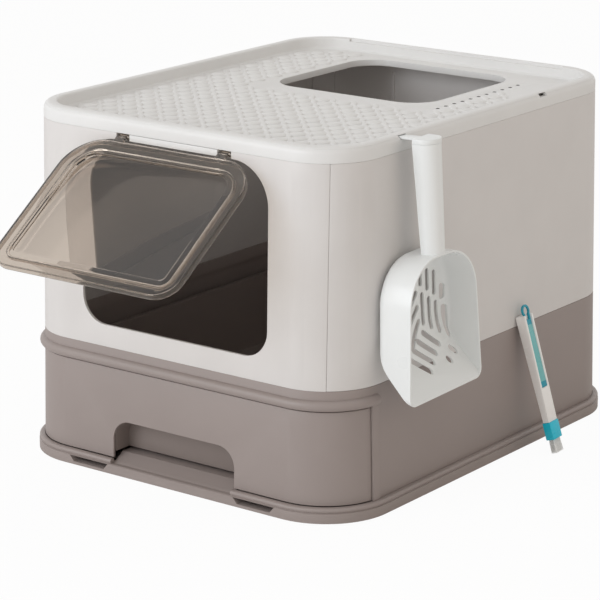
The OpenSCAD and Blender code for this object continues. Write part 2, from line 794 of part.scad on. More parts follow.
// the bowl, inset by d all round: its back edge is rounded by outlines that shrink towards the back
module bowl_solid(d) {
    r = scoop_fillet_r - d;
    intersection() {
        translate([0, scoop_y + scoop_w, 0]) rotate([90, 0, 0]) linear_extrude(2*scoop_w) bowl_side(d);
        rotate([90, 0, 90]) hull() {
            for (a = [0:15:90])
                translate([0, 0, scoop_back + d + r*(1 - sin(a))]) linear_extrude(slice)
                    bowl_front(d + r*(1 - cos(a)));
            translate([0, 0, scoop_mouth]) linear_extrude(d > 0 ? 2*cut : slice) bowl_front(d);
        }
    }
}

// section of the handle, flat at its back: w wide, and d deep to its round front
module handle_section(w, d)
    intersection() {
        union() {
            translate([d - w/2, 0]) circle(w/2, $fn = 32);
            translate([0, -w/2]) square([d - w/2, w]);
        }
        translate([0, -w/2]) square([d, w]);
    }

// the handle, inset by t and open at its back where t is set
module handle_solid(t) {
    open = t > 0 ? cut : 0;
    top = handle_top + (t > 0 ? cut : -slice);
    hull() {
        translate([scoop_back + handle_out - open, scoop_y, top]) linear_extrude(slice)
            handle_section(scoop_handle_w - 2*t, handle_d - t + open);
        translate([scoop_mouth - neck_d - open, scoop_y, bowl_top - (t > 0 ? 0 : 12)]) linear_extrude(slice)
            handle_section(scoop_neck_w - 2*t, neck_d - t + open);
    }
}

// a round-ended slot through the floor between two places, each [across, height] from the lip's middle
module scoop_slot(from, to) {
    l = norm(to - from);
    turn = atan2(to[1] - from[1], to[0] - from[0]);
    translate([scoop_back - cut, scoop_y + from[0], bowl_tip + from[1]]) rotate([90, 0, 90])
        rotate(turn) linear_extrude(scoop_depth - 8) {
            translate([0, -scoop_slot_w/2]) square([l, scoop_slot_w]);
            for (x = [0, l]) translate([x, 0]) circle(scoop_slot_w/2);
        }
}

module scoop() color(white) hung()
    difference() {
        union() {
            bowl_solid(0);
            handle_solid(0);
        }
        bowl_solid(scoop_wall);
        handle_solid(scoop_wall);
        // two banks of upright slots on the far side, each a little lower than the one before
        for (k = [0:3]) {
            y = 15.3 + 11.3*k;
            top = k == 3 ? 88 : 112 - 4*k;
            scoop_slot([y, 98.5 - 6.8*k], [y, top]);
            scoop_slot([y + 3, 59 - 6.2*k], [y + 2, 86.5 - 6.6*k]);
        }
        // the near side: slots that fall away from the middle, and shorter upright ones beyond them
        for (k = [0:3]) scoop_slot([5.5 + 1.6*k, 105 - 14.4*k], [-12 + 1.6*k, 85 - 14.4*k]);
        for (k = [0, 1]) {
            scoop_slot([-30 - 12*k, 95 - 6*k], [-30 - 12*k, 105 - 12*k]);
            scoop_slot([-29 - 12*k, 56], [-29 - 12*k, 76 - 4*k]);
        }
        // slots that fall towards the lip, with two short ones beside them
        for (k = [0:3]) scoop_slot([14.5 - 11.5*k, 50 - 5.5*k], [31 - 11.5*k, 36 - 5.5*k]);
        scoop_slot([44.5, 29], [47.5, 26]);
        scoop_slot([31.5, 22], [32.5, 21]);
    }

module scoop_cap() color(white) hung() {
    translate([scoop_back + handle_out, scoop_y, handle_top + 0.1]) linear_extrude(cap_h)
        handle_section(scoop_handle_w + 2*cap_lip, handle_d + cap_lip);
    // plug inside the handle, open at the back
    translate([scoop_back + handle_out + 3, scoop_y, handle_top - plug_h]) linear_extrude(plug_h + cut)
        handle_section(scoop_handle_w - 2*scoop_wall - 2, handle_d - scoop_wall - 5);
    // tongue that hooks into the lid
    tongue_x = scoop_back - 8;
    translate([tongue_x, scoop_y - hook_slot_w/2 + 1, slot_z - hook_slot_h/2 + 0.5])
        cube([scoop_back + handle_out + 1 - tongue_x, hook_slot_w - 2, hook_slot_h - 1]);
}

// ---- brush ----

collar_w = brush_w + 0.6;
collar_t = brush_t_low + 1.6;
bristle_w = brush_w - 1;
bristle_t = brush_t_low + 0.7;
// heights along the brush, from the bristles' tips
collar_z0 = brush_bristle_l;
sleeve_z0 = collar_z0 + brush_collar_l;
brush_top = sleeve_z0 + brush_bar_l;
groove_z0 = brush_top - groove_l;
groove_floor = 1.5;
insert_clear = 0.2;
insert_t = 2.2;
// loop at the insert's top: its radius, its wire, and its middle above the bar
loop_r = 6.4;
loop_wire = 2.2;
// where the loop passes the bar's top it is narrower than the groove
loop_up = sqrt(pow(loop_r, 2) - pow(groove_w/2 - 2*insert_clear, 2));
window_down = 5;
spigot_r = 2;
spigot_l = 20;

// the bar's top back edge lies on the wall, and the bristles' edge on the floor
brush_foot_x = corner_x + corner_r + 0.2 + brush_top*sin(brush_lean) + brush_t/2*cos(brush_lean);
brush_foot_z = bristle_t/2*sin(brush_lean) + 0.3;

// stands the brush on its bristles and leans its top on the wall
module leaning()
    translate([brush_foot_x, brush_y, brush_foot_z]) rotate([brush_slant, -brush_lean, 0]) children();

// a bar between two heights whose width and thickness change evenly
module tapered(z0, z1, w0, w1, t0, t1)
    intersection() {
        rotate([90, 0, 0]) translate([0, 0, -w0 - w1]) linear_extrude(2*(w0 + w1))
            polygon([[-t0/2, z0], [t0/2, z0], [t1/2, z1], [-t1/2, z1]]);
        rotate([90, 0, 90]) translate([0, 0, -t0 - t1]) linear_extrude(2*(t0 + t1))
            polygon([[-w0/2, z0], [w0/2, z0], [w1/2, z1], [-w1/2, z1]]);
    }

module brush_bar() color([0.82, 0.80, 0.79]) leaning()
    difference() {
        tapered(sleeve_z0, brush_top, brush_w, brush_w, brush_t_low, brush_t);
        // groove for the insert, open at the front and at the top
        translate([groove_floor, -groove_w/2, groove_z0]) cube([brush_t, groove_w, groove_l + cut]);
        // socket for the collar's spigot
        translate([0, 0, sleeve_z0 - cut]) cylinder(h = spigot_l + 0.5 + cut, r = spigot_r + 0.1);
    }

module brush_collar() color(teal) leaning() {
    difference() {
        tapered(collar_z0, sleeve_z0, collar_w, collar_w, collar_t, collar_t);
        translate([-2.7, -4.2, collar_z0 - cut]) cube([5.4, 8.4, 9 + cut]);
    }
    translate([0, 0, sleeve_z0 - cut]) cylinder(h = spigot_l + cut, r = spigot_r);
}

// strip in the bar's groove, with a pull loop at its top
module brush_insert() color(teal) leaning() {
    strip_w = groove_w - 2*insert_clear;
    loop_z = brush_top + loop_up;
    hole_r = loop_r - loop_wire;
    translate([groove_floor + insert_clear, 0, 0]) rotate([90, 0, 90]) difference() {
        linear_extrude(insert_t) {
            translate([-strip_w/2, groove_z0 + insert_clear])
                square([strip_w, loop_z - groove_z0 - insert_clear]);
            translate([0, loop_z]) circle(loop_r);
        }
        translate([0, 0, -cut]) linear_extrude(insert_t + 2*cut) {
            translate([0, loop_z]) circle(hole_r);
            translate([-strip_w/2 + loop_wire, brush_top - window_down])
                square([strip_w - 2*loop_wire, loop_up + window_down]);
        }
    }
}

module brush_bristles() color(white) leaning()
    difference() {
        union() {
            tapered(0, collar_z0, bristle_w, bristle_w - 1.5, bristle_t, bristle_t - 1.5);
            translate([-2.5, -4, collar_z0 - cut]) cube([5, 8, 8 + cut]);
        }
        // notches between the tufts
        for (y = [-1, 0, 1])
            translate([-brush_t, y*bristle_w/4 - 0.3, -cut]) cube([2*brush_t, 0.6, brush_bristle_l - 4]);
    }

base_pan();
base_shell();
base_feet();
drawer_runner_left();
drawer_runner_right();
drawer_stops();
drawer_tray();
drawer_front();
drawer_front_clips();
front_panel();
back_panel();
left_panel();
right_panel();
brace_front_left();
brace_front_right();
brace_back_left();
brace_back_right();
hinge_cover();
flap_hinge_pins();
flap();
lid();
scoop();
scoop_cap();
brush_bar();
brush_collar();
brush_insert();
brush_bristles();
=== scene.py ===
# %% [markdown]
# A drawer litter box in moulded plastic
#
# The box is a taupe base with a litter drawer, warm white wall panels, a smoke-tinted
# flap, and a white lid whose deck is moulded like a basket weave. A scoop hangs from the
# lid and a small brush leans on the side. The engineering model gives every piece at its
# true size. This lesson adds what the eye reads as moulded plastic: rounded edges, fine
# grain, a clear flap, a woven deck and real bristles.

# %% Load the frame
import json
import math

import bpy
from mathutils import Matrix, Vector


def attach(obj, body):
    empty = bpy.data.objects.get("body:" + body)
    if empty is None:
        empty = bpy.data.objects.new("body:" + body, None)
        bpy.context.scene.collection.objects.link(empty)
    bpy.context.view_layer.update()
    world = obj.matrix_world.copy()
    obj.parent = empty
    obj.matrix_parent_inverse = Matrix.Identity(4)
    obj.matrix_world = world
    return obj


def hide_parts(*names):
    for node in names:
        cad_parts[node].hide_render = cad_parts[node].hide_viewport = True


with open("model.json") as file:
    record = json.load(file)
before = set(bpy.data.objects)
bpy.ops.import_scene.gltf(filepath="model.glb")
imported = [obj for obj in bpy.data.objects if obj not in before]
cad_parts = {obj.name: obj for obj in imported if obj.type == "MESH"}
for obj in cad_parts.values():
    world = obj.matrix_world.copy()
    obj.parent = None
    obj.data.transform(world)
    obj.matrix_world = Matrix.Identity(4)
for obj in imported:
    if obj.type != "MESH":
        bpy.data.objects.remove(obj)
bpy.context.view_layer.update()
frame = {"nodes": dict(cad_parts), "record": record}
MM = 0.001
BODIES = frame["record"]["behaviour"]["bodies"]
BODY_OF = {node: body for body, nodes in BODIES.items() for node in nodes}

# %% [markdown]
# ## Camera, light and floor
# The camera stands about 2.8 m away with a long lens, front right and 16 degrees up, so
# the upright edges stay almost parallel. A big soft lamp in front, a little to the left,
# lights the front. A weak one hangs above, and the right side falls into a warmer,
# weaker light.

# %% Colours
def linear(code):
    """Turns an sRGB hex colour such as #d9d6d2 into the linear RGBA that Blender works in."""
    channels = [int(code[i:i + 2], 16) / 255 for i in (1, 3, 5)]
    light = [c / 12.92 if c <= 0.04045 else ((c + 0.055) / 1.055) ** 2.4 for c in channels]
    return (*light, 1.0)


# %% Camera
CAMERA_PLACE = Vector((1.58325, -2.15497, 0.89018))
CAMERA_TURN = math.radians(36.87)
CAMERA_TILT = math.radians(90 - 15.79)
CAMERA_REACH = 20
SENSOR = 36.0
FOCAL_PIXELS = 2676.2
FRAME_PIXELS = 600

camera_data = bpy.data.cameras.new("camera")
camera_data.sensor_width = SENSOR
camera_data.lens = SENSOR * FOCAL_PIXELS / FRAME_PIXELS
camera_data.clip_end = CAMERA_REACH
camera = bpy.data.objects.new("camera", camera_data)
camera.location = CAMERA_PLACE
camera.rotation_euler = (CAMERA_TILT, 0, CAMERA_TURN)
bpy.context.scene.collection.objects.link(camera)
bpy.context.scene.camera = camera
bpy.context.scene.view_settings.view_transform = "Standard"
print("lens", round(camera_data.lens, 1), "mm")

# %% Lamps
LAMP_AIM = Vector((0, 0, 0.18))
# name, place and edge in metres, power in watts, colour
LAMPS = (
    ("key", (-1.0, -3.0, 1.2), 2.0, 44, "#f6faff"),
    ("top", (0.2, 0.3, 2.8), 2.4, 4, "#ffffff"),
    ("side", (2.6, -0.2, 1.0), 1.6, 2.5, "#ffdcb0"),
)


def lamp(name, place, size, power, colour):
    """A square soft box that looks at the object."""
    data = bpy.data.lights.new(name, "AREA")
    data.size = size
    data.energy = power
    data.color = linear(colour)[:3]
    light = bpy.data.objects.new(name, data)
    light.location = place
    light.rotation_euler = (LAMP_AIM - Vector(place)).to_track_quat("-Z", "Y").to_euler()
    bpy.context.scene.collection.objects.link(light)


for row in LAMPS:
    lamp(*row)
print("lamps", [row[0] for row in LAMPS])

# %% [markdown]
# ## Nodes by one small function
# Every material below is a short list of shader nodes. One function adds a node, sets
# its sockets and links it, so that each material reads as what it is.

# %% Node helper
def add(tree, kind, sockets=None, **settings):
    """Adds a node. sockets gives a value or another node's output for each input."""
    shader_node = tree.nodes.new(kind)
    for name, value in settings.items():
        setattr(shader_node, name, value)
    for name, value in (sockets or {}).items():
        if isinstance(value, bpy.types.NodeSocket):
            tree.links.new(value, shader_node.inputs[name])
        else:
            shader_node.inputs[name].default_value = value
    return shader_node


def new_material(name):
    """An empty material, its tree and its output node."""
    material = bpy.data.materials.new(name)
    material.use_nodes = True
    material.node_tree.nodes.clear()
    output = add(material.node_tree, "ShaderNodeOutputMaterial")
    return material, material.node_tree, output


# %% [markdown]
# ## Room and floor
# The object is lit by a dim, warm room, but the camera sees plain white behind it, and so
# do the rays that pass through clear plastic or bounce off gloss. A strength of 1 is
# white. The floor is matt paper that the camera sees almost as white, with a weak shadow.

# %% World: a pale room that the camera sees as plain white
WHITE = (1, 1, 1, 1)
ROOM_STRENGTH = 0.61

world = bpy.data.worlds.new("studio")
bpy.context.scene.world = world
world.use_nodes = True
tree = world.node_tree
tree.nodes.clear()
path = add(tree, "ShaderNodeLightPath")
room = add(tree, "ShaderNodeBackground",
           {"Color": linear("#f6f1ec"), "Strength": ROOM_STRENGTH})
white = add(tree, "ShaderNodeBackground", {"Color": WHITE, "Strength": 1.0})
seen = add(tree, "ShaderNodeMath",
           {0: path.outputs["Is Camera Ray"], 1: path.outputs["Is Transmission Ray"]},
           operation="MAXIMUM")
seen = add(tree, "ShaderNodeMath",
           {0: seen.outputs[0], 1: path.outputs["Is Glossy Ray"]}, operation="MAXIMUM")
mix = add(tree, "ShaderNodeMixShader",
          {0: seen.outputs[0], 1: room.outputs[0], 2: white.outputs[0]})
add(tree, "ShaderNodeOutputWorld", {"Surface": mix.outputs[0]})
print("room strength", ROOM_STRENGTH)

# %% Floor
FLOOR_SIZE = 12
FLOOR_Z = -0.0002
# the camera sees the floor mostly as plain white, and a twentieth of its shadows
FLOOR_WHITE_SHARE = 0.95

bpy.ops.object.select_all(action="DESELECT")
bpy.ops.mesh.primitive_plane_add(size=FLOOR_SIZE, location=(0, 0, FLOOR_Z))
floor = bpy.context.active_object
floor.name = "floor"
material, tree, output = new_material("matt_studio_floor")
paper = add(tree, "ShaderNodeBsdfDiffuse", {"Color": linear("#fbfbfb")})
glow = add(tree, "ShaderNodeEmission", {"Color": WHITE, "Strength": 1.0})
path = add(tree, "ShaderNodeLightPath")
seen = add(tree, "ShaderNodeMath",
           {0: path.outputs["Is Camera Ray"], 1: path.outputs["Is Transmission Ray"]},
           operation="MAXIMUM")
share = add(tree, "ShaderNodeMath", {0: seen.outputs[0], 1: FLOOR_WHITE_SHARE},
            operation="MULTIPLY")
mix = add(tree, "ShaderNodeMixShader",
          {0: share.outputs[0], 1: paper.outputs[0], 2: glow.outputs[0]})
tree.links.new(mix.outputs[0], output.inputs["Surface"])
floor.data.materials.append(material)
print("floor", FLOOR_SIZE, "m")

# %% Floor under the box, which stays in its shadow, on a darker grey sheet that is painted shade
UNDER_SIZE = (0.36, 0.46)
UNDER_Z = -0.0001

bpy.ops.mesh.primitive_plane_add(size=1, location=(0, 0, UNDER_Z))
shade = bpy.context.active_object
shade.name = "floor_under"
shade.scale = (*UNDER_SIZE, 1)
material, tree, output = new_material("matt_studio_floor_painted_shade")
# the paper here is a darker grey than the floor: painted shade on top of the real shadow under the
# box
paper = add(tree, "ShaderNodeBsdfDiffuse", {"Color": linear("#8a8580")})
tree.links.new(paper.outputs[0], output.inputs["Surface"])
shade.data.materials.append(material)
print("shaded floor", UNDER_SIZE, "m")

# %% [markdown]
# ## Moulded polypropylene
# Base, panels, lid and tray are injection-moulded polypropylene. The mould is spark
# eroded, which leaves a fine matt grain of a few tenths of a millimetre. It softens the
# gloss into a wide, weak sheen. The grain is drawn at 0.6 mm, coarser than it is, so
# that it shows at all. Slow changes in colour and gloss, a few centimetres wide, stand
# for flow in the mould and for handling. Scoop and brush are ABS from a smoother mould,
# with a shallower grain and more gloss.

# %% Moulded plastic
GRAIN = 0.6 * MM
GRAIN_STRENGTH = 0.35
# depths of the grain in millimetres
MATT_GRAIN = 0.03
SMOOTH_GRAIN = 0.012
RUBBER_GRAIN = 0.05
CLOUD = 45 * MM
# most of a noise's values lie between these two
CLOUD_VALUES = (0.3, 0.7)
GLOSS_DRIFT = 0.03
PLASTIC_IOR = 1.49


def moulded(name, colour, roughness, grain_height=MATT_GRAIN, cloud=0.04):
    """Grained plastic. cloud is how far the colour drifts from place to place."""
    material, tree, output = new_material(name)
    where = add(tree, "ShaderNodeTexCoord").outputs["Object"]
    grain = add(tree, "ShaderNodeTexNoise", {"Vector": where, "Scale": 1 / GRAIN, "Detail": 2.0})
    cloudy = add(tree, "ShaderNodeTexNoise", {"Vector": where, "Scale": 1 / CLOUD, "Detail": 3.0})
    base = linear(colour)
    dark = (*(c * (1 - cloud) for c in base[:3]), 1.0)
    light = (*(min(1, c * (1 + cloud)) for c in base[:3]), 1.0)
    tint = add(tree, "ShaderNodeMix", {"Factor": cloudy.outputs["Fac"], "A": dark, "B": light},
               data_type="RGBA")
    sheen = add(tree, "ShaderNodeMapRange",
                {"Value": cloudy.outputs["Fac"],
                 "From Min": CLOUD_VALUES[0], "From Max": CLOUD_VALUES[1],
                 "To Min": roughness - GLOSS_DRIFT, "To Max": roughness + GLOSS_DRIFT})
    bump = add(tree, "ShaderNodeBump", {"Height": grain.outputs["Fac"], "Strength": GRAIN_STRENGTH,
                                        "Distance": grain_height * MM})
    plastic = add(tree, "ShaderNodeBsdfPrincipled",
                  {"Base Color": tint.outputs["Result"], "Roughness": sheen.outputs["Result"],
                   "Normal": bump.outputs["Normal"], "IOR": PLASTIC_IOR})
    tree.links.new(plastic.outputs[0], output.inputs["Surface"])
    return material


LID_WHITE = moulded("moulded_pp_white", "#e9e9e8", 0.42)
PANEL_WHITE = moulded("moulded_pp_warm_white", "#dddad8", 0.40)
TAUPE = moulded("moulded_pp_taupe", "#9c918d", 0.44)
TAUPE_DARK = moulded("moulded_pp_dark_taupe", "#877c77", 0.46)
SCOOP_WHITE = moulded("moulded_abs_white", "#f1f4f4", 0.30, SMOOTH_GRAIN, cloud=0.015)
BAR_GREY = moulded("moulded_abs_light_grey", "#fbfaf8", 0.30, SMOOTH_GRAIN, cloud=0.02)
TEAL = moulded("moulded_abs_turquoise", "#1ccbe6", 0.28, SMOOTH_GRAIN, cloud=0.03)
# painted shade: a near-black tone that stands for the darkness inside the lid's drain holes
BORE_PAINTED_SHADE = moulded("moulded_pp_white_painted_bore_shade", "#26221f", 0.5, cloud=0.02)
RUBBER = moulded("moulded_rubber_grey", "#3b3a3a", 0.75, RUBBER_GRAIN)
print("plastics", [m.name for m in bpy.data.materials if m.name.startswith("moulded")])

# %% [markdown]
# ## A strip with painted shade at its ends
# The strip in the brush's groove is a pale turquoise over most of its length. Towards both
# ends of the groove, and in the loop, it is a deeper turquoise, which is painted shade for
# the shade at the ends of the groove. The height above the floor decides which of the two tones a
# point gets.

# %% Strip of the brush
# the strip keeps its pale tone between these heights, and gets painted shade below and above them
STRIP_WITHOUT_SHADE = (74 * MM, 131 * MM)
STRIP_BLEND = 0.6 * MM


def strip_tones_with_painted_shade(shaded_end_tone, thin):
    """Turquoise plastic, darker towards both ends of the groove, where the colour is painted
    shade.
    """
    material = moulded("moulded_abs_turquoise_strip", shaded_end_tone, 0.28, SMOOTH_GRAIN, cloud=0.0)
    tree = material.node_tree
    where = add(tree, "ShaderNodeTexCoord").outputs["Object"]
    height = add(tree, "ShaderNodeSeparateXYZ", {"Vector": where}).outputs["Z"]
    low, high = STRIP_WITHOUT_SHADE
    above = add(tree, "ShaderNodeMapRange",
                {"Value": height, "From Min": low, "From Max": low + STRIP_BLEND})
    below = add(tree, "ShaderNodeMapRange",
                {"Value": height, "From Min": high + STRIP_BLEND, "From Max": high})
    share = add(tree, "ShaderNodeMath", {0: above.outputs[0], 1: below.outputs[0]},
                operation="MULTIPLY")
    tone = add(tree, "ShaderNodeMix",
               {"Factor": share.outputs[0], "A": linear(shaded_end_tone), "B": linear(thin)},
               data_type="RGBA")
    plastic = next(n for n in tree.nodes if n.type == "BSDF_PRINCIPLED")
    tree.links.new(tone.outputs["Result"], plastic.inputs["Base Color"])
    return material


# the first colour is the painted shade at the groove's ends, the second the strip's pale tone
TEAL_STRIP = strip_tones_with_painted_shade("#1b9db4", "#79c3c5")
print("strip thin between", [round(z / MM) for z in STRIP_WITHOUT_SHADE], "mm")

# %% [markdown]
# ## Smoke-tinted clear plastic
# The flap is clear polycarbonate with a warm smoke tint, polished by its mould. It is a
# closed solid, so real refraction works: the flat pane stays clear, and the steps of the
# lip bend the light into the fine bright and dark lines that give clear plastic away.
# Lamps can't be traced through a refracting wall in good time, so shadow rays and diffuse
# rays meet a plain see-through tint instead.

# %% Clear flap
def smoke_plastic():
    """Tinted polycarbonate that bends the light."""
    material, tree, output = new_material("polycarbonate_smoke")
    wall = add(tree, "ShaderNodeBsdfPrincipled",
               {"Base Color": linear("#c1b4a7"), "Transmission Weight": 1.0,
                "Roughness": 0.02, "IOR": 1.50})
    path = add(tree, "ShaderNodeLightPath")
    plain = add(tree, "ShaderNodeMath",
                {0: path.outputs["Is Shadow Ray"], 1: path.outputs["Is Diffuse Ray"]},
                operation="MAXIMUM")
    clear = add(tree, "ShaderNodeBsdfTransparent", {"Color": linear("#e0dad3")})
    both = add(tree, "ShaderNodeMixShader",
               {0: plain.outputs[0], 1: wall.outputs[0], 2: clear.outputs[0]})
    tree.links.new(both.outputs[0], output.inputs["Surface"])
    return material


SMOKE = smoke_plastic()
print("flap", SMOKE.name)

# %% [markdown]
# ## Nylon and steel
# The bristles are extruded nylon, smooth and milky. Light goes through such a thin rod, so
# a plain white shader would leave the tufts grey: half of the shader is translucent. The
# flap hangs on two pins of drawn wire, which has fine scratches along its length. They
# are about 4 mm long and a tenth of a millimetre apart.

# %% Nylon filament
LIGHT_THROUGH = 0.5


def nylon():
    """White nylon. Half of the light that meets a thin rod comes out of its far side."""
    material, tree, output = new_material("nylon_filament")
    face = add(tree, "ShaderNodeBsdfPrincipled",
               {"Base Color": linear("#fdfdfc"), "Roughness": 0.35})
    inside = add(tree, "ShaderNodeBsdfTranslucent", {"Color": linear("#fdfdfc")})
    rod = add(tree, "ShaderNodeMixShader",
              {0: LIGHT_THROUGH, 1: face.outputs[0], 2: inside.outputs[0]})
    tree.links.new(rod.outputs[0], output.inputs["Surface"])
    return material


NYLON = nylon()
print("bristles", NYLON.name)

# %% Drawn steel
SCRATCH_LENGTH = 4 * MM
SCRATCH_DEPTH = 0.01 * MM
# the pins lie along X, and the pattern is this many times finer across them
SCRATCH_SQUEEZE = (1, 30, 30)


def drawn_steel():
    """Bright wire: fine scratches along the pin."""
    material, tree, output = new_material("drawn_steel_wire")
    where = add(tree, "ShaderNodeTexCoord").outputs["Object"]
    squeeze = add(tree, "ShaderNodeMapping", {"Vector": where, "Scale": SCRATCH_SQUEEZE})
    lines = add(tree, "ShaderNodeTexNoise",
                {"Vector": squeeze.outputs[0], "Scale": 1 / SCRATCH_LENGTH})
    bump = add(tree, "ShaderNodeBump",
               {"Height": lines.outputs["Fac"], "Strength": 0.3, "Distance": SCRATCH_DEPTH})
    steel = add(tree, "ShaderNodeBsdfPrincipled",
                {"Base Color": linear("#c9c9cc"), "Metallic": 1.0, "Roughness": 0.28,
                 "Normal": bump.outputs[0]})
    tree.links.new(steel.outputs[0], output.inputs["Surface"])
    return material


STEEL = drawn_steel()
print("pins", STEEL.name)

# %% [markdown]
# ## Rounding every edge
# A mould can't make a knife edge, and the light line on a small radius is what tells the
# eye that a shape is solid. Each visible piece is a merged copy of its engineering mesh.
# Flat faces are joined again, the sharp edges get a bevel of a few tenths of a
# millimetre, and only edges above 28 degrees stay sharp in the shading. The hinge pins
# are round wire with hardly an edge in sight, so they only get their material.

# %% Softened copies
WELD = 0.002 * MM
FLAT = math.radians(0.2)
SHARP = math.radians(28)
EDGE_SEGMENTS = 3


def only(obj):
    """Selects one object and makes it active."""
    bpy.ops.object.select_all(action="DESELECT")
    obj.select_set(True)
    bpy.context.view_layer.objects.active = obj


def apply_all(obj):
    """Applies the modifiers of a piece in order."""
    only(obj)
    for modifier in list(obj.modifiers):
        bpy.ops.object.modifier_apply(modifier=modifier.name)


def soften(node, material, edge):
    """A merged copy of a node with edges rounded by edge mm, which is shown in its place."""
    mesh = frame["nodes"][node].data.copy()
    mesh.materials.clear()
    piece = bpy.data.objects.new(node + "_moulded", mesh)
    bpy.context.scene.collection.objects.link(piece)
    only(piece)
    bpy.ops.object.mode_set(mode="EDIT")
    bpy.ops.mesh.select_all(action="SELECT")
    bpy.ops.mesh.remove_doubles(threshold=WELD)
    bpy.ops.mesh.dissolve_limited(angle_limit=FLAT)
    bpy.ops.object.mode_set(mode="OBJECT")
    bevel = piece.modifiers.new("edge", "BEVEL")
    bevel.width = edge * MM
    bevel.segments = EDGE_SEGMENTS
    bevel.limit_method = "ANGLE"
    bevel.angle_limit = SHARP
    bevel.use_clamp_overlap = True
    apply_all(piece)
    bpy.ops.mesh.customdata_custom_splitnormals_clear()
    bpy.ops.object.shade_smooth_by_angle(angle=SHARP)
    mesh.materials.append(material)
    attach(piece, BODY_OF[node])
    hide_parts(node)
    return piece


# %% Finish of each node
# material, and the width of the rounded edge in millimetres
FINISH = {
    "base_pan": (TAUPE, 0.5),
    "base_shell": (TAUPE, 0.5),
    "drawer_front": (TAUPE, 0.6),
    "drawer_tray": (TAUPE_DARK, 0.5),
    "drawer_runner_left": (TAUPE_DARK, 0.4),
    "drawer_runner_right": (TAUPE_DARK, 0.4),
    "drawer_stops": (TAUPE_DARK, 0.4),
    "drawer_front_clips": (TAUPE_DARK, 0.4),
    "front_panel": (PANEL_WHITE, 0.35),
    "back_panel": (PANEL_WHITE, 0.5),
    "left_panel": (PANEL_WHITE, 0.5),
    "right_panel": (PANEL_WHITE, 0.5),
    "brace_front_left": (PANEL_WHITE, 0.4),
    "brace_front_right": (PANEL_WHITE, 0.4),
    "brace_back_left": (PANEL_WHITE, 0.4),
    "brace_back_right": (PANEL_WHITE, 0.4),
    "hinge_cover": (LID_WHITE, 0.3),
    "flap": (SMOKE, 0.5),
    "lid": (LID_WHITE, 0.35),
    "scoop": (SCOOP_WHITE, 0.4),
    "scoop_cap": (SCOOP_WHITE, 0.6),
    "brush_bar": (BAR_GREY, 0.8),
    "brush_collar": (TEAL, 0.8),
    "brush_insert": (TEAL_STRIP, 0.4),
    "base_feet": (RUBBER, 0.5),
}
pieces = {node: soften(node, *finish) for node, finish in FINISH.items()}
pins = frame["nodes"]["flap_hinge_pins"]
pins.data.materials.clear()
pins.data.materials.append(STEEL)
print("faces", {node: len(piece.data.polygons) for node, piece in pieces.items()})

# %% [markdown]
# ## Drain holes
# Each drain hole in the lid is a short bore of 4 mm. Hardly any light comes back out of
# it, so the small upright faces in the deck's thickness are painted a near-black tone: painted
# shade that stands for the darkness inside the bore.
# The top entry has small faces at its corners too, so its surroundings are left out.

# %% Painted shade in the bores
DECK_SPAN = (344.4 * MM, 347.01 * MM)
DRAINED = (150 * MM, 200 * MM)
ENTRY_HALF_WIDTH = 95 * MM
ENTRY_FRONT = 32 * MM
BORE_FACET = 3.5 * MM * MM
LEVEL_NORMAL = 0.97
# the lid's second material slot, which holds the painted shade of the bores
PAINTED_SHADE_SLOT = 1


def in_bore(face):
    """True for a face of the lid that belongs to the wall of a drain hole."""
    x, y, z = face.center
    wall = abs(face.normal.z) < LEVEL_NORMAL and face.area < BORE_FACET
    in_deck = DECK_SPAN[0] < z < DECK_SPAN[1] and abs(x) < DRAINED[0] and abs(y) < DRAINED[1]
    at_entry = abs(x) < ENTRY_HALF_WIDTH and y > ENTRY_FRONT
    return wall and in_deck and not at_entry


lid_mesh = pieces["lid"].data
lid_mesh.materials.append(BORE_PAINTED_SHADE)
bore_faces = [face for face in lid_mesh.polygons if in_bore(face)]
for face in bore_faces:
    face.material_index = PAINTED_SHADE_SLOT
print("bore faces", len(bore_faces))

# %% [markdown]
# ## The woven deck
# The lid's deck is moulded like rattan: stakes run slantwise across it, and between two
# stakes short wefts bulge up row by row. A bump in the material would stay flat at the
# rim of the deck, so the weave is real mesh. Each weft and each bulge of a stake is a low
# dome. One dome of each kind is cut from a sphere, then two arrays repeat it on a slanted
# lattice, and the copies that would lie on the smooth margin are deleted. The drain
# holes sit on the same lattice, in the dips between the wefts.

# %% One dome
BALL_SEGMENTS = 16
BALL_RINGS = 10
# the ball is cut a little below its middle, and the dome reaches into the deck
DOME_CUT = -0.15
WEAVE_TURN = math.radians(42)


def dome(name, across, along, height, centre):
    """The upper half of a flattened ball, its sizes in mm, turned as the weave runs."""
    bpy.ops.object.select_all(action="DESELECT")
    bpy.ops.mesh.primitive_uv_sphere_add(segments=BALL_SEGMENTS, ring_count=BALL_RINGS, radius=1.0)
    piece = bpy.context.active_object
    piece.name = name
    bpy.ops.object.mode_set(mode="EDIT")
    bpy.ops.mesh.select_all(action="SELECT")
    bpy.ops.mesh.bisect(plane_co=(0, 0, DOME_CUT), plane_no=(0, 0, 1), clear_inner=True)
    bpy.ops.object.mode_set(mode="OBJECT")
    piece.scale = (across / 2 * MM, along / 2 * MM, height * MM)
    piece.rotation_euler = (0, 0, WEAVE_TURN)
    piece.location = centre
    bpy.ops.object.transform_apply(location=True, rotation=True, scale=True)
    return piece


# %% The lattice
WEAVE_A = (13.14 * MM, 14.6 * MM)
WEAVE_B = (13.14 * MM, -14.6 * MM)
WEAVE_START = (-82 * MM, -178.05 * MM)
WEAVE_REACH = 18
DECK_Z = 347 * MM


def lattice(p, q):
    """The place of a lattice point on the deck, q rows down column p."""
    return (WEAVE_START[0] + p * WEAVE_A[0] + q * WEAVE_B[0],
            WEAVE_START[1] + p * WEAVE_A[1] + q * WEAVE_B[1])


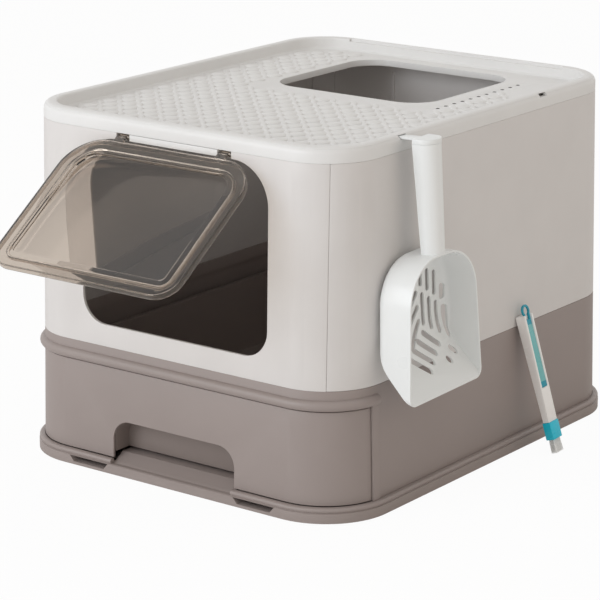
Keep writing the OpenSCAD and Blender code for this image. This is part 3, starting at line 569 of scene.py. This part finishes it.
# %% The woven field
FIELD_HALF = (176 * MM, 224 * MM)
FIELD_BACK = 212 * MM
CORNER = (133 * MM, 182 * MM)
CORNER_RADIUS = 43 * MM
MARGIN_SIDES = (-111 * MM, 125 * MM)
MARGIN_FRONT = 4 * MM


def woven(x, y):
    """True where the deck is woven: inside the rim, and clear of the top entry."""
    if abs(x) >= FIELD_HALF[0] or abs(y) >= FIELD_HALF[1] or y >= FIELD_BACK:
        return False
    past = (abs(x) - CORNER[0], abs(y) - CORNER[1])
    if min(past) > 0 and math.hypot(*past) > CORNER_RADIUS:
        return False
    return not (MARGIN_SIDES[0] < x < MARGIN_SIDES[1] and y > MARGIN_FRONT)


# %% Repeated over the field
def spread(piece, p0, q0):
    """Repeats a dome over the lattice and deletes the copies outside the woven field."""
    count = 2 * WEAVE_REACH + 1
    size = len(piece.data.vertices)
    for name, step in (("rows", WEAVE_B), ("columns", WEAVE_A)):
        array = piece.modifiers.new(name, "ARRAY")
        array.use_relative_offset = False
        array.use_constant_offset = True
        array.constant_offset_displace = (*step, 0)
        array.count = count
    apply_all(piece)
    bpy.ops.object.mode_set(mode="EDIT")
    bpy.ops.mesh.select_all(action="DESELECT")
    bpy.ops.object.mode_set(mode="OBJECT")
    kept = 0
    for copy in range(count * count):
        if woven(*lattice(p0 + copy // count, q0 + copy % count)):
            kept += 1
            continue
        for vertex in piece.data.vertices[copy * size:(copy + 1) * size]:
            vertex.select = True
    bpy.ops.object.mode_set(mode="EDIT")
    bpy.ops.mesh.select_mode(type="VERT")
    bpy.ops.mesh.delete(type="VERT")
    bpy.ops.object.mode_set(mode="OBJECT")
    bpy.ops.object.shade_smooth()
    piece.data.materials.append(LID_WHITE)
    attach(piece, "lid")
    print(piece.name, kept, "domes")


# %% Wefts and stakes
# name, width, length and height in millimetres, and the first copy's place on the lattice
DOMES = (
    ("lid_wefts", 18.5, 12.5, 2.3, -WEAVE_REACH, -WEAVE_REACH + 0.5),
    ("lid_stakes", 8.0, 21.0, 1.3, -WEAVE_REACH + 0.5, -WEAVE_REACH + 0.5),
)
for name, across, along, height, p, q in DOMES:
    spread(dome(name, across, along, height, (*lattice(p, q), DECK_Z)), p, q)

# %% [markdown]
# ## Bristles
# The brush stands on its bristles. They are nylon filaments, set in rows of tufts in the
# collar. One filament is a thin tapered rod. Each tuft holds thirteen of them, and each
# leans out a little, more so at the outside, so that the tufts flare towards the tips.
# Copies of one rod would all have its lean. So the rings of each rod are written out,
# with a few faces each, and sines of its number make it differ from its neighbours.

# %% One filament
FILAMENT_R = 0.22 * MM
FILAMENT_SIDES = 5
TAPER_FROM = 0.6
TIP_SHARE = 0.6


def filament(root, tip):
    """The three rings of one tapered rod from its root to its tip."""
    axis = (tip - root).normalized()
    side = axis.orthogonal().normalized()
    other = axis.cross(side)
    angles = [math.tau * k / FILAMENT_SIDES for k in range(FILAMENT_SIDES)]
    stations = ((root, FILAMENT_R), (root.lerp(tip, TAPER_FROM), FILAMENT_R),
                (tip, TIP_SHARE * FILAMENT_R))
    return [[centre + radius * (math.cos(a) * side + math.sin(a) * other) for a in angles]
            for centre, radius in stations]


def rod_faces(start):
    """The sides and both ends of a rod whose rings begin at vertex start."""
    n = FILAMENT_SIDES
    sides = [(start + level + m, start + level + (m + 1) % n,
              start + level + n + (m + 1) % n, start + level + n + m)
             for level in (0, n) for m in range(n)]
    root_end = tuple(start + m for m in range(n - 1, -1, -1))
    tip_end = tuple(start + 2 * n + m for m in range(n))
    return sides + [root_end, tip_end]


# %% Where the brush stands
# the direction in which the leaning brush points
BRUSH_UP = Vector((-0.2838, -0.0349, 0.9582)).normalized()
ACROSS = Vector((0, 1, 0)) - BRUSH_UP * BRUSH_UP.y
ACROSS.normalize()
THROUGH = ACROSS.cross(BRUSH_UP)

solid = frame["nodes"]["brush_bristles"]
corners = [solid.matrix_world @ v.co for v in solid.data.vertices]
low = min(c.dot(BRUSH_UP) for c in corners)
high = max(c.dot(BRUSH_UP) for c in corners)
length = high - low
middle = sum(corners, Vector()) / len(corners)
middle = middle + BRUSH_UP * ((low + high) / 2 - middle.dot(BRUSH_UP))
print("bristles", round(length / MM, 1), "mm long")

# %% Tufts
TUFT_ROWS = 3
TUFT_COLUMNS = 5
FILAMENTS = 13
BRISTLE_BOX = (6.4 * MM, 12.6 * MM)
# a tuft's radius as a share of the room it has
TUFT_RADIUS = 0.42
# turned by this angle each time, the filaments fill a tuft evenly
GOLDEN_ANGLE = 2.39996
FLARE = 1.17
FLARE_DRIFT = 0.2
FLARE_BEAT = 5
TIP_DRIFT = 0.3 * MM
TIP_BEAT = 7
SET_DEPTH = 7 * MM
FLOOR_GAP = 0.1 * MM


def ends(row, column, k):
    """The root and the tip of filament k in a tuft. No tip goes into the floor."""
    spin = k * GOLDEN_ANGLE
    reach = math.sqrt(k / FILAMENTS)
    du = (row + 0.5) / TUFT_ROWS - 0.5 + TUFT_RADIUS * reach * math.cos(spin) / TUFT_ROWS
    dv = (column + 0.5) / TUFT_COLUMNS - 0.5 + TUFT_RADIUS * reach * math.sin(spin) / TUFT_COLUMNS
    foot = THROUGH * du * BRISTLE_BOX[0] + ACROSS * dv * BRISTLE_BOX[1]
    bend = 1 + (FLARE - 1) * (1 - FLARE_DRIFT + FLARE_DRIFT * math.sin(FLARE_BEAT * k))
    shorter = TIP_DRIFT * (1 + math.sin(TIP_BEAT * k))
    root = middle + foot + BRUSH_UP * (length / 2 - SET_DEPTH)
    tip = middle + foot * bend - BRUSH_UP * (length / 2 - shorter)
    if tip.z < FLOOR_GAP:
        tip = root.lerp(tip, (root.z - FLOOR_GAP) / (root.z - tip.z))
    return root, tip


vertices, faces = [], []
for row in range(TUFT_ROWS):
    for column in range(TUFT_COLUMNS):
        for k in range(FILAMENTS):
            faces += rod_faces(len(vertices))
            for ring in filament(*ends(row, column, k)):
                vertices.extend(ring)
print("filaments", TUFT_ROWS * TUFT_COLUMNS * FILAMENTS)

# %% The bristles as one piece
BRISTLE_SHARP = math.radians(60)

mesh = bpy.data.meshes.new("bristle_filaments")
mesh.from_pydata(vertices, [], faces)
bristles = bpy.data.objects.new("bristle_filaments", mesh)
bpy.context.scene.collection.objects.link(bristles)
only(bristles)
bpy.ops.object.mode_set(mode="EDIT")
bpy.ops.mesh.select_all(action="SELECT")
bpy.ops.mesh.normals_make_consistent(inside=False)
bpy.ops.object.mode_set(mode="OBJECT")
bpy.ops.object.shade_smooth_by_angle(angle=BRISTLE_SHARP)
mesh.materials.append(NYLON)
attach(bristles, "brush")
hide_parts("brush_bristles")
print("bristle faces", len(mesh.polygons))
